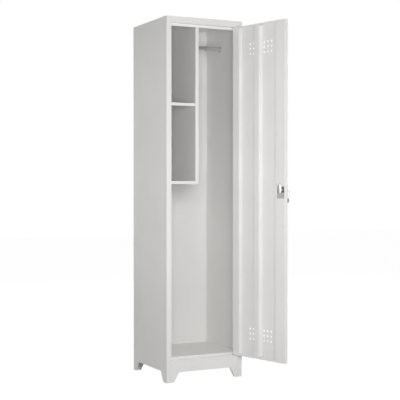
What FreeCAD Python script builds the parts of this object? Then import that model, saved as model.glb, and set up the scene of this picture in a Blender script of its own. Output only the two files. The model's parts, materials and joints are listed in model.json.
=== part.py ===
import FreeCAD, Part
import Sketcher
import os
import re

# Broom cupboard: a free-standing locker of folded sheet steel with one door.
# Frame: X to the right, Y to the back, Z up, in mm.
# Origin: centre of the footprint, on the floor.  The door stands open.

doc = FreeCAD.newDocument("broom_cupboard")

# ---------------------------------------------------------------- sizes

SIZES = {
    # outside of the cupboard
    "width": 420,
    "depth": 420,
    "height": 1800,
    "sheet": 1,                  # thickness of all the folded steel
    "bend_radius": 1,            # inside radius of a bend
    # front frame
    "stile_face": 23,            # face of each side at the front
    "rail_face": 31,             # face of the top rail
    "opening_base": 111,         # top of the plinth's ledge
    "sill_lip": 12,              # lip that stands on the plinth's ledge
    "stop_width": 13,            # strip that the shut door faces
    "rail_return": 15,           # end flange of the top rail and the plinth
    # feet
    "foot_height": 50,
    "front_foot": 40,            # width of a front foot at the floor
    "front_foot_flare": 27,      # what it gains up to foot_height
    "foot_flange": 15,
    "side_foot": 41.5,
    "side_foot_flare": 28.5,
    "rear_foot": 29.4,
    "rear_foot_flare": 30.6,
    "rear_foot_radius": 36,
    # back and top
    "back_recess": 25,           # rear of the back panel to the rear plane
    "rear_return": 22,
    "rear_tab": 13,
    "back_flange": 20,
    "tray_lip": 18,              # turned edge of the top and the floor
    "corner_notch": 3,
    "head_inset": 9,             # end of the back's top flange to the side wall
    "seam_gap": 0.5,
    # inside
    "bay_width": 170.5,          # side wall to divider
    "lower_shelf_drop": 808,     # top of the cupboard to the lower shelf
    "upper_shelf_drop": 420,
    "shelf_lip": 15,
    "shelf_setback": 6,          # shelf front to the rear of the stop strips
    "divider_lip": 18.5,
    "divider_return": 14,
    "divider_flange": 14,
    "flange_setback": 20,
    # hanging rod
    "rod_radius": 10,
    "rod_wall": 1.5,
    "rod_behind_centre": 30,
    "rod_drop": 111,             # top of the cupboard to the rod
    "cup_radius": 19.5,          # wall plate that carries the rod
    "cup_plate": 3,
    "cup_collar": 1.45,
    "cup_length": 12,
    "cup_clearance": 0.15,
    "screw_offset": 15.5,
    "screw_radius": 2,
    "screw_clearance": 0.2,
    "screw_head_radius": 3.6,
    "screw_head": 2.2,
    "hook_x": 124,
    "hook_wire": 1.25,
    "hook_upper_radius": 11.5,
    "hook_lower_radius": 12,
    "hook_sweep": 235,
    "hook_gap": 0.05,
    # door
    "door_thick": 19,
    "door_gap": 2.5,             # all round the shut door
    "stop_gap": 2.5,             # shut door to the stop strips
    "door_open": 104.3,          # angle it stands open at
    "hinge_stile": 47,
    "latch_stile": 67,
    "door_lip": 9,
    "wall_gap": 0.2,
    "rib_offset": 12,            # middle of the rib to the middle of the door, towards the hinge
    "rib_width": 35,
    "rib_foot": 7,
    "vent_radius": 4.5,
    "vent_pitch": 25,
    "vent_group": 100,           # between the middles of two vent groups
    "vent_from_end": 116.75,
    "peg_hole_radius": 2.5,
    "peg_hole_inset": 57,        # small holes above the lock, to the door's latch edge
    "peg_hole_low": 26.5,        # above the lock axis
    "peg_hole_high": 267.5,
    # hinges
    "pin_radius": 3,
    "pin_inset": 8,              # pin to the door's hinge edge
    "pin_depth": 6,              # pin to the door's outer face
    "pin_fit": 0.05,
    "pin_below_ledge": 5,
    "pin_head_radius": 4.5,
    "pin_head": 2,
    "block_length": 25.5,
    "block_half": 5.8,
    "block_front": 3.8,
    "block_back": 10.8,
    "bush_radius": 4.5,
    "bush_fit": 0.1,
    "bush_seat_gap": 0.1,
    "bush_flange_radius": 5.5,
    "bush_tube": 6,
    "bush_flange_top": 1.5,
    # lock and recessed handle
    "lock_inset": 29,            # lock axis to the door's latch edge
    "lock_z": 947.5,
    "plate_half": 27,
    "plate_low": 49.5,           # below the lock axis
    "plate_high": 26.5,
    "plate_thick": 2.5,
    "plate_corner": 3,
    "plate_edge": 1,
    "case_half": 24.7,
    "case_low": 40.2,
    "case_high": 18.2,
    "case_gap": 0.3,
    "case_wall": 2,
    "case_web": 2.5,
    "grip_high": 17,             # top of the finger cup, below the lock axis
    "grip_back": 1.5,
    "lock_floor": 2,
    "barrel_radius": 8,
    "barrel_length": 22.8,
    "barrel_fit": 0.1,
    "bezel_radius": 10.5,
    "bezel_thick": 2,
    "nut_flats": 22,
    "nut_thick": 5,
    "plug_radius": 5.5,
    "plug_fit": 0.07,
    "plug_sink": 0.2,
    "plug_end": 23.2,
    "keyway_width": 2.4,
    "keyway_height": 8,
    "keyway_end": 11.7,
    "cam_thick": 2,
    "cam_hub": 10.5,             # half width of the cam, and the radius of its lower end
    "cam_tail": 17,              # axis to the lower end
    "cam_reach": 35,
    "cam_shoulder": 21,
    "cam_tip": 4.5,              # half width of the cam's tip
    "cam_screw_radius": 2,
    "cam_screw_head_radius": 4.5,
    "cam_screw_head": 2.5,
    "cam_screw_start": 14,
    # keys on their ring
    "key_thick": 2,
    "key_blade": 7,
    "key_tang": 8,               # length of blade inside the head
    "key_head_half": 1.7,        # half thickness of the moulded head
    "key_head_fit": 0.05,
    "key_reach": 35,
    "key_bow": 24,
    "key_bow_length": 22,
    "key_bow_corner": 6,
    "key_hole_radius": 2.5,
    "key_hole_inset": 3.5,
    "key_hole_out": 24.5,        # hole of the key in the lock to the door's face
    "ring_radius": 20,
    "ring_wire": 0.9,
    "ring_gap": 0.15,
}

sheet = doc.addObject("Spreadsheet::Sheet", "dims")
for row, (size_name, size) in enumerate(SIZES.items(), 1):
    sheet.set("A%d" % row, str(size))
    sheet.setAlias("A%d" % row, size_name)
doc.recompute()

# Places worked out from the sizes, written for the sheet to evaluate.
FRONT = "(-depth / 2)"
BACK = "(depth / 2)"
HALF = "(width / 2)"
WALL = f"({HALF} - sheet)"                           # inner face of a side wall
OPEN_X = f"({HALF} - stile_face)"                    # edge of the door opening
OPEN_HIGH = "(height - rail_face)"
STOP_FRONT = f"({FRONT} + door_thick + stop_gap)"
STOP_BACK = f"({STOP_FRONT} + sheet)"
SILL_TOP = "(opening_base + sill_lip)"
BACK_REAR = f"({BACK} - back_recess)"
BACK_FRONT = f"({BACK_REAR} - sheet)"
TRAY_UNDER = "(height - sheet)"                      # ceiling
NOTCH_Z = "(height - tray_lip - seam_gap)"
INSIDE_FRONT = f"({STOP_BACK} + shelf_setback)"      # front of shelves and divider
DIVIDER_LEFT = f"(-{WALL} + bay_width)"
DIVIDER_RIGHT = f"({DIVIDER_LEFT} + sheet)"
DIVIDER_LIP = f"({DIVIDER_LEFT} + divider_lip)"
LOWER_TOP = "(height - lower_shelf_drop)"
UPPER_TOP = "(height - upper_shelf_drop)"
ROD_Y = "rod_behind_centre"
ROD_Z = "(height - rod_drop)"
CUP_BORE = "(rod_radius + cup_clearance)"
SCREW_HOLE = "(screw_radius + screw_clearance)"

PIVOT_X = f"({OPEN_X} - door_gap - pin_inset)"
PIVOT_Y = f"({FRONT} + pin_depth)"
DOOR_WIDE = f"(2 * {OPEN_X} - 2 * door_gap)"
DOOR_LOW = "(opening_base + door_gap)"
DOOR_HIGH = f"({OPEN_HIGH} - door_gap)"
LIP_LOW = f"({DOOR_LOW} + door_lip)"
LIP_HIGH = f"({DOOR_HIGH} - door_lip)"
BUSH_HOLE = "(bush_radius + bush_fit)"
LATCH_WALL = f"({DOOR_WIDE} - latch_stile)"
LOCK_X = f"(pin_inset - {DOOR_WIDE} + lock_inset)"
BEZEL_FRONT = "(-plate_thick - bezel_thick)"
CAM_BACK = "(plug_end + cam_thick)"


# ---------------------------------------------------------------- shorthand

PLANES = {"x": ("YZ_Plane", 1), "y": ("XZ_Plane", -1), "z": ("XY_Plane", 1)}
SAME = 0.001                                         # places closer than this are the same
parts = []


def ex(text):
    """The text with each size name pointed at the sheet."""
    return re.sub(r"[a-z_]+", lambda m: "dims." + m.group() if m.group() in SIZES else m.group(), text)


def number(text):
    """Present value of an expression."""
    return float(sheet.evalExpression(text))


def piece(label):
    body = doc.addObject("PartDesign::Body", label)
    body.Label = label
    body.AllowCompound = True
    parts.append(body)
    return body


def new_sketch(body, along, level):
    """Empty sketch square to an axis, at a level on it."""
    role, way = PLANES[along]
    sketch = body.newObject("Sketcher::SketchObject", body.Label + "_sketch")
    plane = [f for f in body.Origin.OriginFeatures if f.Role == role][0]
    sketch.AttachmentSupport = (plane, [""])
    sketch.MapMode = "FlatFace"
    sketch.setExpression("AttachmentOffset.Base.z", ex(f"{way} * ({level})"))
    return sketch


def fix_point(sketch, index, position, place):
    for kind, text in zip(("DistanceX", "DistanceY"), place):
        bound = sketch.addConstraint(Sketcher.Constraint(kind, -1, 1, index, position, number(text)))
        sketch.setExpression("Constraints[%d]" % bound, ex(text))


def draw_loop(sketch, places):
    """Closed outline through the places."""
    first = sketch.GeometryCount
    count = len(places)
    corners = [FreeCAD.Vector(number(a), number(b), 0) for a, b in places]
    for i in range(count):
        sketch.addGeometry(Part.LineSegment(corners[i], corners[(i + 1) % count]), False)
    for i in range(count):
        after = first + (i + 1) % count
        sketch.addConstraint(Sketcher.Constraint("Coincident", first + i, 2, after, 1))
        fix_point(sketch, first + i, 1, places[i])


def draw_circle(sketch, a, b, radius):
    centre = FreeCAD.Vector(number(a), number(b), 0)
    index = sketch.addGeometry(Part.Circle(centre, FreeCAD.Vector(0, 0, 1), number(radius)), False)
    fix_point(sketch, index, 3, (a, b))
    bound = sketch.addConstraint(Sketcher.Constraint("Radius", index, number(radius)))
    sketch.setExpression("Constraints[%d]" % bound, ex(radius))


def draw(sketch, shapes):
    """Each shape is a list of places (outline) or a tuple of centre and radius (circle)."""
    for shape in shapes:
        if isinstance(shape, list):
            draw_loop(sketch, shape)
        else:
            draw_circle(sketch, *shape)


def extrude(body, kind, along, low, high, start, shapes):
    sketch = new_sketch(body, along, start)
    draw(sketch, shapes)
    feature = body.newObject("PartDesign::" + kind, body.Label + "_" + kind.lower())
    feature.Profile = sketch
    feature.setExpression("Length", ex(f"({high}) - ({low})"))
    doc.recompute()


def pad(body, along, low, high, *shapes):
    """Adds the shapes between two levels of an axis."""
    extrude(body, "Pad", along, low, high, high if along == "y" else low, shapes)


def cut(body, along, low, high, *shapes):
    """Takes the shapes away between two levels of an axis."""
    before = body.Shape.Volume
    extrude(body, "Pocket", along, low, high, low if along == "y" else high, shapes)
    if body.Shape.Volume >= before:
        raise RuntimeError(body.Label + ": a cut takes nothing away")


def rectangle(a_low, a_high, b_low, b_high):
    return [(a_low, b_low), (a_high, b_low), (a_high, b_high), (a_low, b_high)]


def foot_gap(half_low, half_high):
    """Opening between two feet, narrower at its top."""
    return [
        (f"-{half_low}", "0"), (half_low, "0"),
        (half_high, "foot_height"), (f"-{half_high}", "foot_height"),
    ]


def span(side, inner, outer):
    """Low and high X of a stretch that is mirrored to the left when side is -1."""
    if side > 0:
        return f"({inner})", f"({outer})"
    return f"(-({outer}))", f"(-({inner}))"


def edges_at(body, along, places):
    """Names of the straight edges along an axis that pass through the places."""
    axis = "xyz".index(along)
    across = [i for i in range(3) if i != axis]
    spots = [(number(a), number(b)) for a, b in places]
    found = []
    for index, edge in enumerate(body.Tip.Shape.Edges, 1):
        ends = [v.Point for v in edge.Vertexes]
        if len(ends) != 2 or abs(ends[0][axis] - ends[1][axis]) < SAME:
            continue
        for a, b in spots:
            if all(abs(e[across[0]] - a) < SAME and abs(e[across[1]] - b) < SAME for e in ends):
                found.append("Edge%d" % index)
                break
    if len(found) < len(spots):
        raise RuntimeError(body.Label + ": an edge to round isn't there")
    return found


def round_edges(body, radius, names):
    base = body.Tip
    fillet = body.newObject("PartDesign::Fillet", body.Label + "_fillet")
    fillet.Base = (base, names)
    fillet.setExpression("Radius", ex(radius))
    doc.recompute()


def round_at(body, along, radius, *places):
    round_edges(body, radius, edges_at(body, along, places))


def fold(body, along, low, high, path):
    """Sheet bent at right angles along a path in the middle of its thickness."""
    spots = [(number(a), number(b)) for a, b in path]
    normals = []
    for (a, b), (c, d) in zip(spots, spots[1:]):
        step = (round((c > a) - (c < a)), round((d > b) - (d < b)))
        normals.append((-step[1], step[0]))
    count = len(path)
    left, right, inner, outer = [], [], [], []
    for i, (a, b) in enumerate(path):
        before = normals[i - 1] if i > 0 else (0, 0)
        after = normals[i] if i < count - 1 else (0, 0)
        shift = (before[0] + after[0], before[1] + after[1])
        one = (f"{a} + {shift[0]} * sheet / 2", f"{b} + {shift[1]} * sheet / 2")
        two = (f"{a} - {shift[0]} * sheet / 2", f"{b} - {shift[1]} * sheet / 2")
        left.append(one)
        right.append(two)
        if 0 < i < count - 1:
            turns_left = before[0] * after[1] - before[1] * after[0] > 0
            inner.append(one if turns_left else two)
            outer.append(two if turns_left else one)
    pad(body, along, low, high, left + right[::-1])
    round_at(body, along, "bend_radius", *inner)
    round_at(body, along, "bend_radius + sheet", *outer)


def tray(body, x_low, x_high, y_low, y_high, top, lip):
    """Flat sheet with all four edges turned down and its corners notched."""
    x_in, x_out = f"({x_low} + corner_notch)", f"({x_high} - corner_notch)"
    y_in, y_out = f"({y_low} + corner_notch)", f"({y_high} - corner_notch)"
    outline = [
        (x_in, y_low), (x_out, y_low), (x_out, y_in), (x_high, y_in),
        (x_high, y_out), (x_out, y_out), (x_out, y_high), (x_in, y_high),
        (x_in, y_out), (x_low, y_out), (x_low, y_in), (x_in, y_in),
    ]
    pad(body, "z", f"{top} - sheet", top, outline)
    lips = (
        rectangle(x_in, x_out, y_low, f"{y_low} + sheet"),
        rectangle(x_in, x_out, f"{y_high} - sheet", y_high),
        rectangle(x_low, f"{x_low} + sheet", y_in, y_out),
        rectangle(f"{x_high} - sheet", x_high, y_in, y_out),
    )
    for turned in lips:
        pad(body, "z", f"{top} - {lip}", top, turned)
    under = f"{top} - sheet"
    round_at(body, "x", "bend_radius", (f"{y_low} + sheet", under), (f"{y_high} - sheet", under))
    round_at(body, "y", "bend_radius", (f"{x_low} + sheet", under), (f"{x_high} - sheet", under))
    round_at(body, "x", "bend_radius + sheet", (y_low, top), (y_high, top))
    round_at(body, "y", "bend_radius + sheet", (x_low, top), (x_high, top))


def place(body, x="0", y="0", z="0"):
    for axis, text in zip("xyz", (x, y, z)):
        body.setExpression("Placement.Base." + axis, ex(text))
    doc.recompute()


def place_on_door(body, x="0", y="0", z="0"):
    """Puts a body at a point of the door, which is drawn shut about its pin and then swung."""
    turn = "(door_open * 1 deg)"
    swung_x = f"{PIVOT_X} + ({x}) * cos({turn}) - ({y}) * sin({turn})"
    swung_y = f"{PIVOT_Y} + ({x}) * sin({turn}) + ({y}) * cos({turn})"
    place(body, swung_x, swung_y, z)
    body.setExpression("Placement.Rotation.Angle", ex(turn))
    doc.recompute()


# ---------------------------------------------------------------- carcass

def side_panel(label, side):
    """Side wall with the front stile, door stop and rear channel folded from one sheet."""
    body = piece(label)

    def at(x, y):
        return (f"{side} * ({x})", y)

    path = [
        at(f"{HALF} - rear_return - rear_tab", f"({BACK_REAR} + sheet / 2)"),
        at(f"{HALF} - rear_return + sheet / 2", f"({BACK_REAR} + sheet / 2)"),
        at(f"{HALF} - rear_return + sheet / 2", f"({BACK} - sheet / 2)"),
        at(f"{HALF} - sheet / 2", f"({BACK} - sheet / 2)"),
        at(f"{HALF} - sheet / 2", f"({FRONT} + sheet / 2)"),
        at(f"{OPEN_X} + sheet / 2", f"({FRONT} + sheet / 2)"),
        at(f"{OPEN_X} + sheet / 2", f"({STOP_FRONT} + sheet / 2)"),
        at(f"{OPEN_X} - stop_width", f"({STOP_FRONT} + sheet / 2)"),
    ]
    fold(body, "z", "0", "height", path)
    # opening between the feet
    low, high = span(side, WALL, HALF)
    reach = f"({BACK} - side_foot)"
    top_reach = f"({reach} - side_foot_flare)"
    cut(body, "x", low, high, foot_gap(reach, top_reach))
    # room for the turned edges of the top
    low, high = span(side, "0", WALL)
    cut(body, "z", NOTCH_Z, "height", rectangle(low, high, f"{FRONT} + sheet", f"{BACK} - sheet"))
    # room for the stop strips of the top rail and the plinth
    low, high = span(side, "0", OPEN_X)
    strip = rectangle(low, high, f"{STOP_FRONT} - bend_radius", STOP_BACK)
    cut(body, "z", f"{OPEN_HIGH} - stop_width", "height", strip)
    cut(body, "z", "0", SILL_TOP, strip)
    return body


side_left = side_panel("side_panel_left", -1)
side_right = side_panel("side_panel_right", 1)

top = piece("top_panel")
tray(top, f"(-{WALL})", WALL, f"({FRONT} + sheet)", f"({BACK} - sheet)", "height", "tray_lip")

floor = piece("floor_panel")
tray(floor, f"(-{WALL})", WALL, STOP_BACK, BACK_FRONT, SILL_TOP, "tray_lip")

back = piece("back_panel")
back_path = [
    (f"(-{WALL} + sheet / 2)", f"({BACK_FRONT} + back_flange)"),
    (f"(-{WALL} + sheet / 2)", f"({BACK_FRONT} + sheet / 2)"),
    (f"({WALL} - sheet / 2)", f"({BACK_FRONT} + sheet / 2)"),
    (f"({WALL} - sheet / 2)", f"({BACK_FRONT} + back_flange)"),
]
fold(back, "z", "0", TRAY_UNDER, back_path)
rear_reach = f"({HALF} - rear_foot)"
rear_top = f"({rear_reach} - rear_foot_flare)"
cut(back, "y", BACK_FRONT, BACK_REAR, foot_gap(rear_reach, rear_top))
round_at(back, "y", "rear_foot_radius", (f"-{rear_reach}", "0"), (rear_reach, "0"))
for side in (-1, 1):
    low, high = span(side, f"{WALL} - sheet - bend_radius - seam_gap", f"{WALL} + sheet")
    cut(back, "z", NOTCH_Z, "height", rectangle(low, high, f"{BACK_FRONT} - sheet", BACK))
head_x = f"({WALL} - head_inset)"
head = rectangle(f"-{head_x}", head_x, BACK_FRONT, f"{BACK_FRONT} + back_flange")
pad(back, "z", f"{TRAY_UNDER} - sheet", TRAY_UNDER, head)


def rail_ends(body, low, high):
    """Flanges that lie against the returns of the two side panels."""
    for side in (-1, 1):
        near, far = span(side, f"{OPEN_X} - sheet", OPEN_X)
        pad(body, "z", low, high, rectangle(near, far, FRONT, f"{FRONT} + rail_return"))


rail = piece("top_rail")
rail_path = [
    (f"({FRONT} + sheet / 2)", "height"),
    (f"({FRONT} + sheet / 2)", f"({OPEN_HIGH} + sheet / 2)"),
    (f"({STOP_FRONT} + sheet / 2)", f"({OPEN_HIGH} + sheet / 2)"),
    (f"({STOP_FRONT} + sheet / 2)", f"({OPEN_HIGH} - stop_width)"),
]
fold(rail, "x", f"-{OPEN_X}", OPEN_X, rail_path)
rail_ends(rail, OPEN_HIGH, NOTCH_Z)
cut(rail, "z", f"{OPEN_HIGH} - sheet", f"{OPEN_HIGH} + bush_tube", (PIVOT_X, PIVOT_Y, BUSH_HOLE))

plinth = piece("plinth_rail")
plinth_path = [
    (f"({FRONT} + sheet / 2)", "0"),
    (f"({FRONT} + sheet / 2)", "(opening_base - sheet / 2)"),
    (f"({STOP_FRONT} + sheet / 2)", "(opening_base - sheet / 2)"),
    (f"({STOP_FRONT} + sheet / 2)", SILL_TOP),
]
fold(plinth, "x", f"-{OPEN_X}", OPEN_X, plinth_path)
foot_x = f"({HALF} - front_foot)"
foot_x_top = f"({foot_x} - front_foot_flare)"
cut(plinth, "y", FRONT, f"{FRONT} + sheet", foot_gap(foot_x, foot_x_top))
# flange turned in along the slanted and level edges between the feet
slant = "(sheet * sqrt(1 + (front_foot_flare / foot_height) ^ 2))"
bar_x = f"({foot_x} + {slant})"
bar_x_top = f"({bar_x} - front_foot_flare * (1 + sheet / foot_height))"
flange = [
    (f"-{foot_x}", "0"), (f"-{foot_x_top}", "foot_height"),
    (foot_x_top, "foot_height"), (foot_x, "0"),
    (bar_x, "0"), (bar_x_top, "(foot_height + sheet)"),
    (f"-{bar_x_top}", "(foot_height + sheet)"), (f"-{bar_x}", "0"),
]
pad(plinth, "y", FRONT, f"{FRONT} + foot_flange", flange)
rail_ends(plinth, "0", "opening_base")
cut(plinth, "z", "opening_base - bush_tube", "opening_base + sheet", (PIVOT_X, PIVOT_Y, BUSH_HOLE))

# ---------------------------------------------------------------- inside

lower = piece("lower_shelf")
tray(lower, f"(-{WALL})", DIVIDER_LIP, INSIDE_FRONT, BACK_FRONT, LOWER_TOP, "shelf_lip")

upper = piece("upper_shelf")
tray(upper, f"(-{WALL})", DIVIDER_LEFT, INSIDE_FRONT, BACK_FRONT, UPPER_TOP, "shelf_lip")

divider = piece("divider")
divider_path = [
    (f"({DIVIDER_LEFT} + divider_flange)", f"({BACK_FRONT} - sheet / 2)"),
    (f"({DIVIDER_LEFT} + sheet / 2)", f"({BACK_FRONT} - sheet / 2)"),
    (f"({DIVIDER_LEFT} + sheet / 2)", f"({INSIDE_FRONT} + sheet / 2)"),
    (f"({DIVIDER_LIP} - sheet / 2)", f"({INSIDE_FRONT} + sheet / 2)"),
    (f"({DIVIDER_LIP} - sheet / 2)", f"({INSIDE_FRONT} + divider_return)"),
]
fold(divider, "z", LOWER_TOP, TRAY_UNDER, divider_path)
edge_strip = rectangle(
    DIVIDER_LEFT, f"{DIVIDER_LEFT} + divider_flange",
    f"{INSIDE_FRONT} + flange_setback", f"{BACK_FRONT} - flange_setback",
)
pad(divider, "z", f"{TRAY_UNDER} - sheet", TRAY_UNDER, edge_strip)
pad(divider, "z", LOWER_TOP, f"{LOWER_TOP} + sheet", edge_strip)

rod = piece("hanging_rod")
pad(
    rod, "x", DIVIDER_RIGHT, WALL,
    (ROD_Y, ROD_Z, "rod_radius"),
    (ROD_Y, ROD_Z, "rod_radius - rod_wall"),
)


def rod_flange(label, wall_x, way):
    """Plate and collar that hold one end of the rod; drawn from its wall along X."""
    body = piece(label)
    if way > 0:
        plate, collar = ("0", "cup_plate"), ("0", "cup_length")
    else:
        plate, collar = ("-cup_plate", "0"), ("-cup_length", "0")
    pad(body, "x", *plate, ("0", "0", "cup_radius"))
    pad(body, "x", *collar, ("0", "0", f"{CUP_BORE} + cup_collar"))
    cut(body, "x", *collar, ("0", "0", CUP_BORE))
    for turn in (-1, 1):
        cut(body, "x", *plate, ("0", f"{turn} * screw_offset", SCREW_HOLE))
    place(body, wall_x, ROD_Y, ROD_Z)
    return body


rod_flange("rod_flange_left", DIVIDER_RIGHT, 1)
rod_flange("rod_flange_right", WALL, -1)

screws = piece("rod_flange_screws")
for turn in (-1, 1):
    screw_z = f"{ROD_Z} + {turn} * screw_offset"
    cut(divider, "x", DIVIDER_LEFT, DIVIDER_RIGHT, (ROD_Y, screw_z, SCREW_HOLE))
    cut(side_right, "x", WALL, HALF, (ROD_Y, screw_z, SCREW_HOLE))
    left_face = f"({DIVIDER_RIGHT} + cup_plate)"
    right_face = f"({WALL} - cup_plate)"
    pad(screws, "x", DIVIDER_LEFT, left_face, (ROD_Y, screw_z, "screw_radius"))
    pad(screws, "x", left_face, f"{left_face} + screw_head", (ROD_Y, screw_z, "screw_head_radius"))
    pad(screws, "x", right_face, HALF, (ROD_Y, screw_z, "screw_radius"))
    pad(screws, "x", f"{right_face} - screw_head", right_face, (ROD_Y, screw_z, "screw_head_radius"))

# Hook of two wire arcs, one over the rod and one below it, that meet midway.
hook_bends = []
HOOK_CENTRE = f"({ROD_Z} + rod_radius + hook_gap + hook_wire - hook_upper_radius)"
HOOK_MIDDLE = f"({HOOK_CENTRE} - hook_upper_radius)"
for radius, centre, upside in (
    ("hook_upper_radius", HOOK_CENTRE, 0),
    ("hook_lower_radius", f"({HOOK_MIDDLE} - hook_lower_radius)", 180),
):
    bend = doc.addObject("Part::Torus", "hook_bend")
    bend.setExpression("Radius1", ex(radius))
    bend.setExpression("Radius2", ex("hook_wire"))
    bend.setExpression("Angle3", ex("hook_sweep"))
    about_x = FreeCAD.Rotation(FreeCAD.Vector(1, 0, 0), upside)
    about_y = FreeCAD.Rotation(FreeCAD.Vector(0, 1, 0), 90)
    bend.Placement = FreeCAD.Placement(FreeCAD.Vector(), about_x.multiply(about_y))
    bend.setExpression("Placement.Base.z", ex(centre) + " - " + ex(ROD_Z))
    hook_bends.append(bend)
hook = doc.addObject("Part::MultiFuse", "rod_hook")
hook.Label = "rod_hook"
hook.Shapes = hook_bends
parts.append(hook)
place(hook, "hook_x", ROD_Y, ROD_Z)

# ---------------------------------------------------------------- door
# Drawn shut, about the hinge pin: u runs from the hinge edge along the door,
# v from its outer face inwards.

def at_u(u):
    return f"(pin_inset - ({u}))"


def at_v(v):
    return f"(({v}) - pin_depth)"


door = piece("door_panel")
door_path = [
    ("hinge_stile - sheet / 2", "sheet + wall_gap"),
    ("hinge_stile - sheet / 2", "door_thick - sheet / 2"),
    ("sheet / 2", "door_thick - sheet / 2"),
    ("sheet / 2", "sheet / 2"),
    (f"{DOOR_WIDE} - sheet / 2", "sheet / 2"),
    (f"{DOOR_WIDE} - sheet / 2", "door_thick - sheet / 2"),
    (f"{LATCH_WALL} + sheet / 2", "door_thick - sheet / 2"),
    (f"{LATCH_WALL} + sheet / 2", "sheet + wall_gap"),
]
fold(door, "z", DOOR_LOW, DOOR_HIGH, [(at_u(u), at_v(v)) for u, v in door_path])
end_plate = rectangle(
    at_u(f"{DOOR_WIDE} - sheet"), at_u("sheet"),
    at_v("sheet"), at_v("door_thick - sheet"),
)
end_lip = rectangle(
    at_u(LATCH_WALL), at_u("hinge_stile"),
    at_v("door_thick - sheet"), at_v("door_thick"),
)
pad(door, "z", DOOR_LOW, f"{DOOR_LOW} + sheet", end_plate)
pad(door, "z", f"{DOOR_HIGH} - sheet", DOOR_HIGH, end_plate)
pad(door, "z", DOOR_LOW, LIP_LOW, end_lip)
pad(door, "z", LIP_HIGH, DOOR_HIGH, end_lip)
pin_bore = "(pin_radius + pin_fit)"
for low, high in ((DOOR_LOW, f"{DOOR_LOW} + sheet"), (f"{DOOR_HIGH} - sheet", DOOR_HIGH)):
    cut(door, "z", low, high, ("0", "0", pin_bore))
vents = []
for end in (f"({DOOR_LOW} + vent_from_end)", f"({DOOR_HIGH} - vent_from_end)"):
    for group in (-1, 1):
        for column in (-1, 0, 1):
            for line in (-1, 0, 1):
                vent_u = f"{DOOR_WIDE} / 2 + {group} * vent_group / 2 + {column} * vent_pitch"
                vents.append((at_u(vent_u), f"{end} + {line} * vent_pitch", "vent_radius"))
cut(door, "y", at_v("0"), at_v("sheet"), *vents)
case_hole = rectangle(
    f"{LOCK_X} - case_half - case_gap", f"{LOCK_X} + case_half + case_gap",
    "lock_z - case_low - case_gap", "lock_z + case_high + case_gap",
)
cut(door, "y", at_v("0"), at_v("door_thick"), case_hole)
cut(
    door, "y", at_v("door_thick - sheet"), at_v("door_thick"),
    (at_u(f"{DOOR_WIDE} - peg_hole_inset"), "lock_z + peg_hole_low", "peg_hole_radius"),
    (at_u(f"{DOOR_WIDE} - peg_hole_inset"), "lock_z + peg_hole_high", "peg_hole_radius"),
)
place_on_door(door)

rib = piece("door_rib")
rib_start = f"({DOOR_WIDE} / 2 - rib_offset - rib_width / 2)"
rib_end = f"({rib_start} + rib_width)"
foot_v = "(sheet + sheet / 2)"                       # its feet lie on the outer sheet
rib_path = [
    (f"{rib_start} - rib_foot", foot_v),
    (f"{rib_start} + sheet / 2", foot_v),
    (f"{rib_start} + sheet / 2", "door_thick - sheet / 2"),
    (f"{rib_end} - sheet / 2", "door_thick - sheet / 2"),
    (f"{rib_end} - sheet / 2", foot_v),
    (f"{rib_end} + rib_foot", foot_v),
]
fold(rib, "z", LIP_LOW, LIP_HIGH, [(at_u(u), at_v(v)) for u, v in rib_path])
place_on_door(rib)


def hinge(end, way):
    """Pin, block and bush at one end of the door; way is the direction out of the door."""
    if way < 0:
        ledge, door_end, flange = "opening_base", DOOR_LOW, "(door_gap - bush_seat_gap)"
    else:
        ledge, door_end, flange = OPEN_HIGH, DOOR_HIGH, "bush_flange_top"
    inside = f"({door_end} - {way} * sheet)"
    block_end = f"({inside} - {way} * block_length)"

    def grow(body, one, other, *shapes):
        low, high = (one, other) if way > 0 else (other, one)
        pad(body, "z", low, high, *shapes)

    block = piece("hinge_block_" + end)
    outline = rectangle("-block_half", "block_half", "-block_front", "block_back")
    grow(block, block_end, inside, outline, ("0", "0", pin_bore))
    place_on_door(block)

    pin = piece("hinge_pin_" + end)
    grow(pin, block_end, f"{ledge} + {way} * pin_below_ledge", ("0", "0", "pin_radius"))
    grow(pin, f"{block_end} - {way} * pin_head", block_end, ("0", "0", "pin_head_radius"))
    place_on_door(pin)

    bush = piece("hinge_bush_" + end)
    grow(bush, "0", f"{way} * bush_tube", ("0", "0", "bush_radius"), ("0", "0", pin_bore))
    grow(bush, f"-{way} * {flange}", "0", ("0", "0", "bush_flange_radius"), ("0", "0", pin_bore))
    place(bush, PIVOT_X, PIVOT_Y, ledge)


hinge("bottom", -1)
hinge("top", 1)

# ---------------------------------------------------------------- lock
# Drawn about the lock axis, with the door's outer face at y = 0.

def place_on_lock(body, y="0", z="0"):
    place_on_door(body, LOCK_X, f"({y}) - pin_depth", f"lock_z + ({z})")


handle = piece("lock_handle")
plate = rectangle("-plate_half", "plate_half", "-plate_low", "plate_high")
pad(handle, "y", "-plate_thick", "0", plate)
round_at(handle, "y", "plate_corner", *plate)
plate_rim = [
    "Edge%d" % index for index, edge in enumerate(handle.Tip.Shape.Edges, 1)
    if all(abs(v.Y + number("plate_thick")) < SAME for v in edge.Vertexes)
]
round_edges(handle, "plate_edge", plate_rim)
pad(handle, "y", "0", "door_thick", rectangle("-case_half", "case_half", "-case_low", "case_high"))
hollow = "(case_half - case_wall)"
grip = rectangle(f"-{hollow}", hollow, "-case_low + case_wall", "-grip_high")
cut(handle, "y", "-plate_thick", "door_thick - grip_back", grip)
well = rectangle(f"-{hollow}", hollow, "-grip_high + case_web", "case_high - case_wall")
cut(handle, "y", "lock_floor", "door_thick", well)
barrel_hole = "(barrel_radius + barrel_fit)"
cut(handle, "y", "-plate_thick", "lock_floor", ("0", "0", barrel_hole))
place_on_lock(handle)

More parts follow.
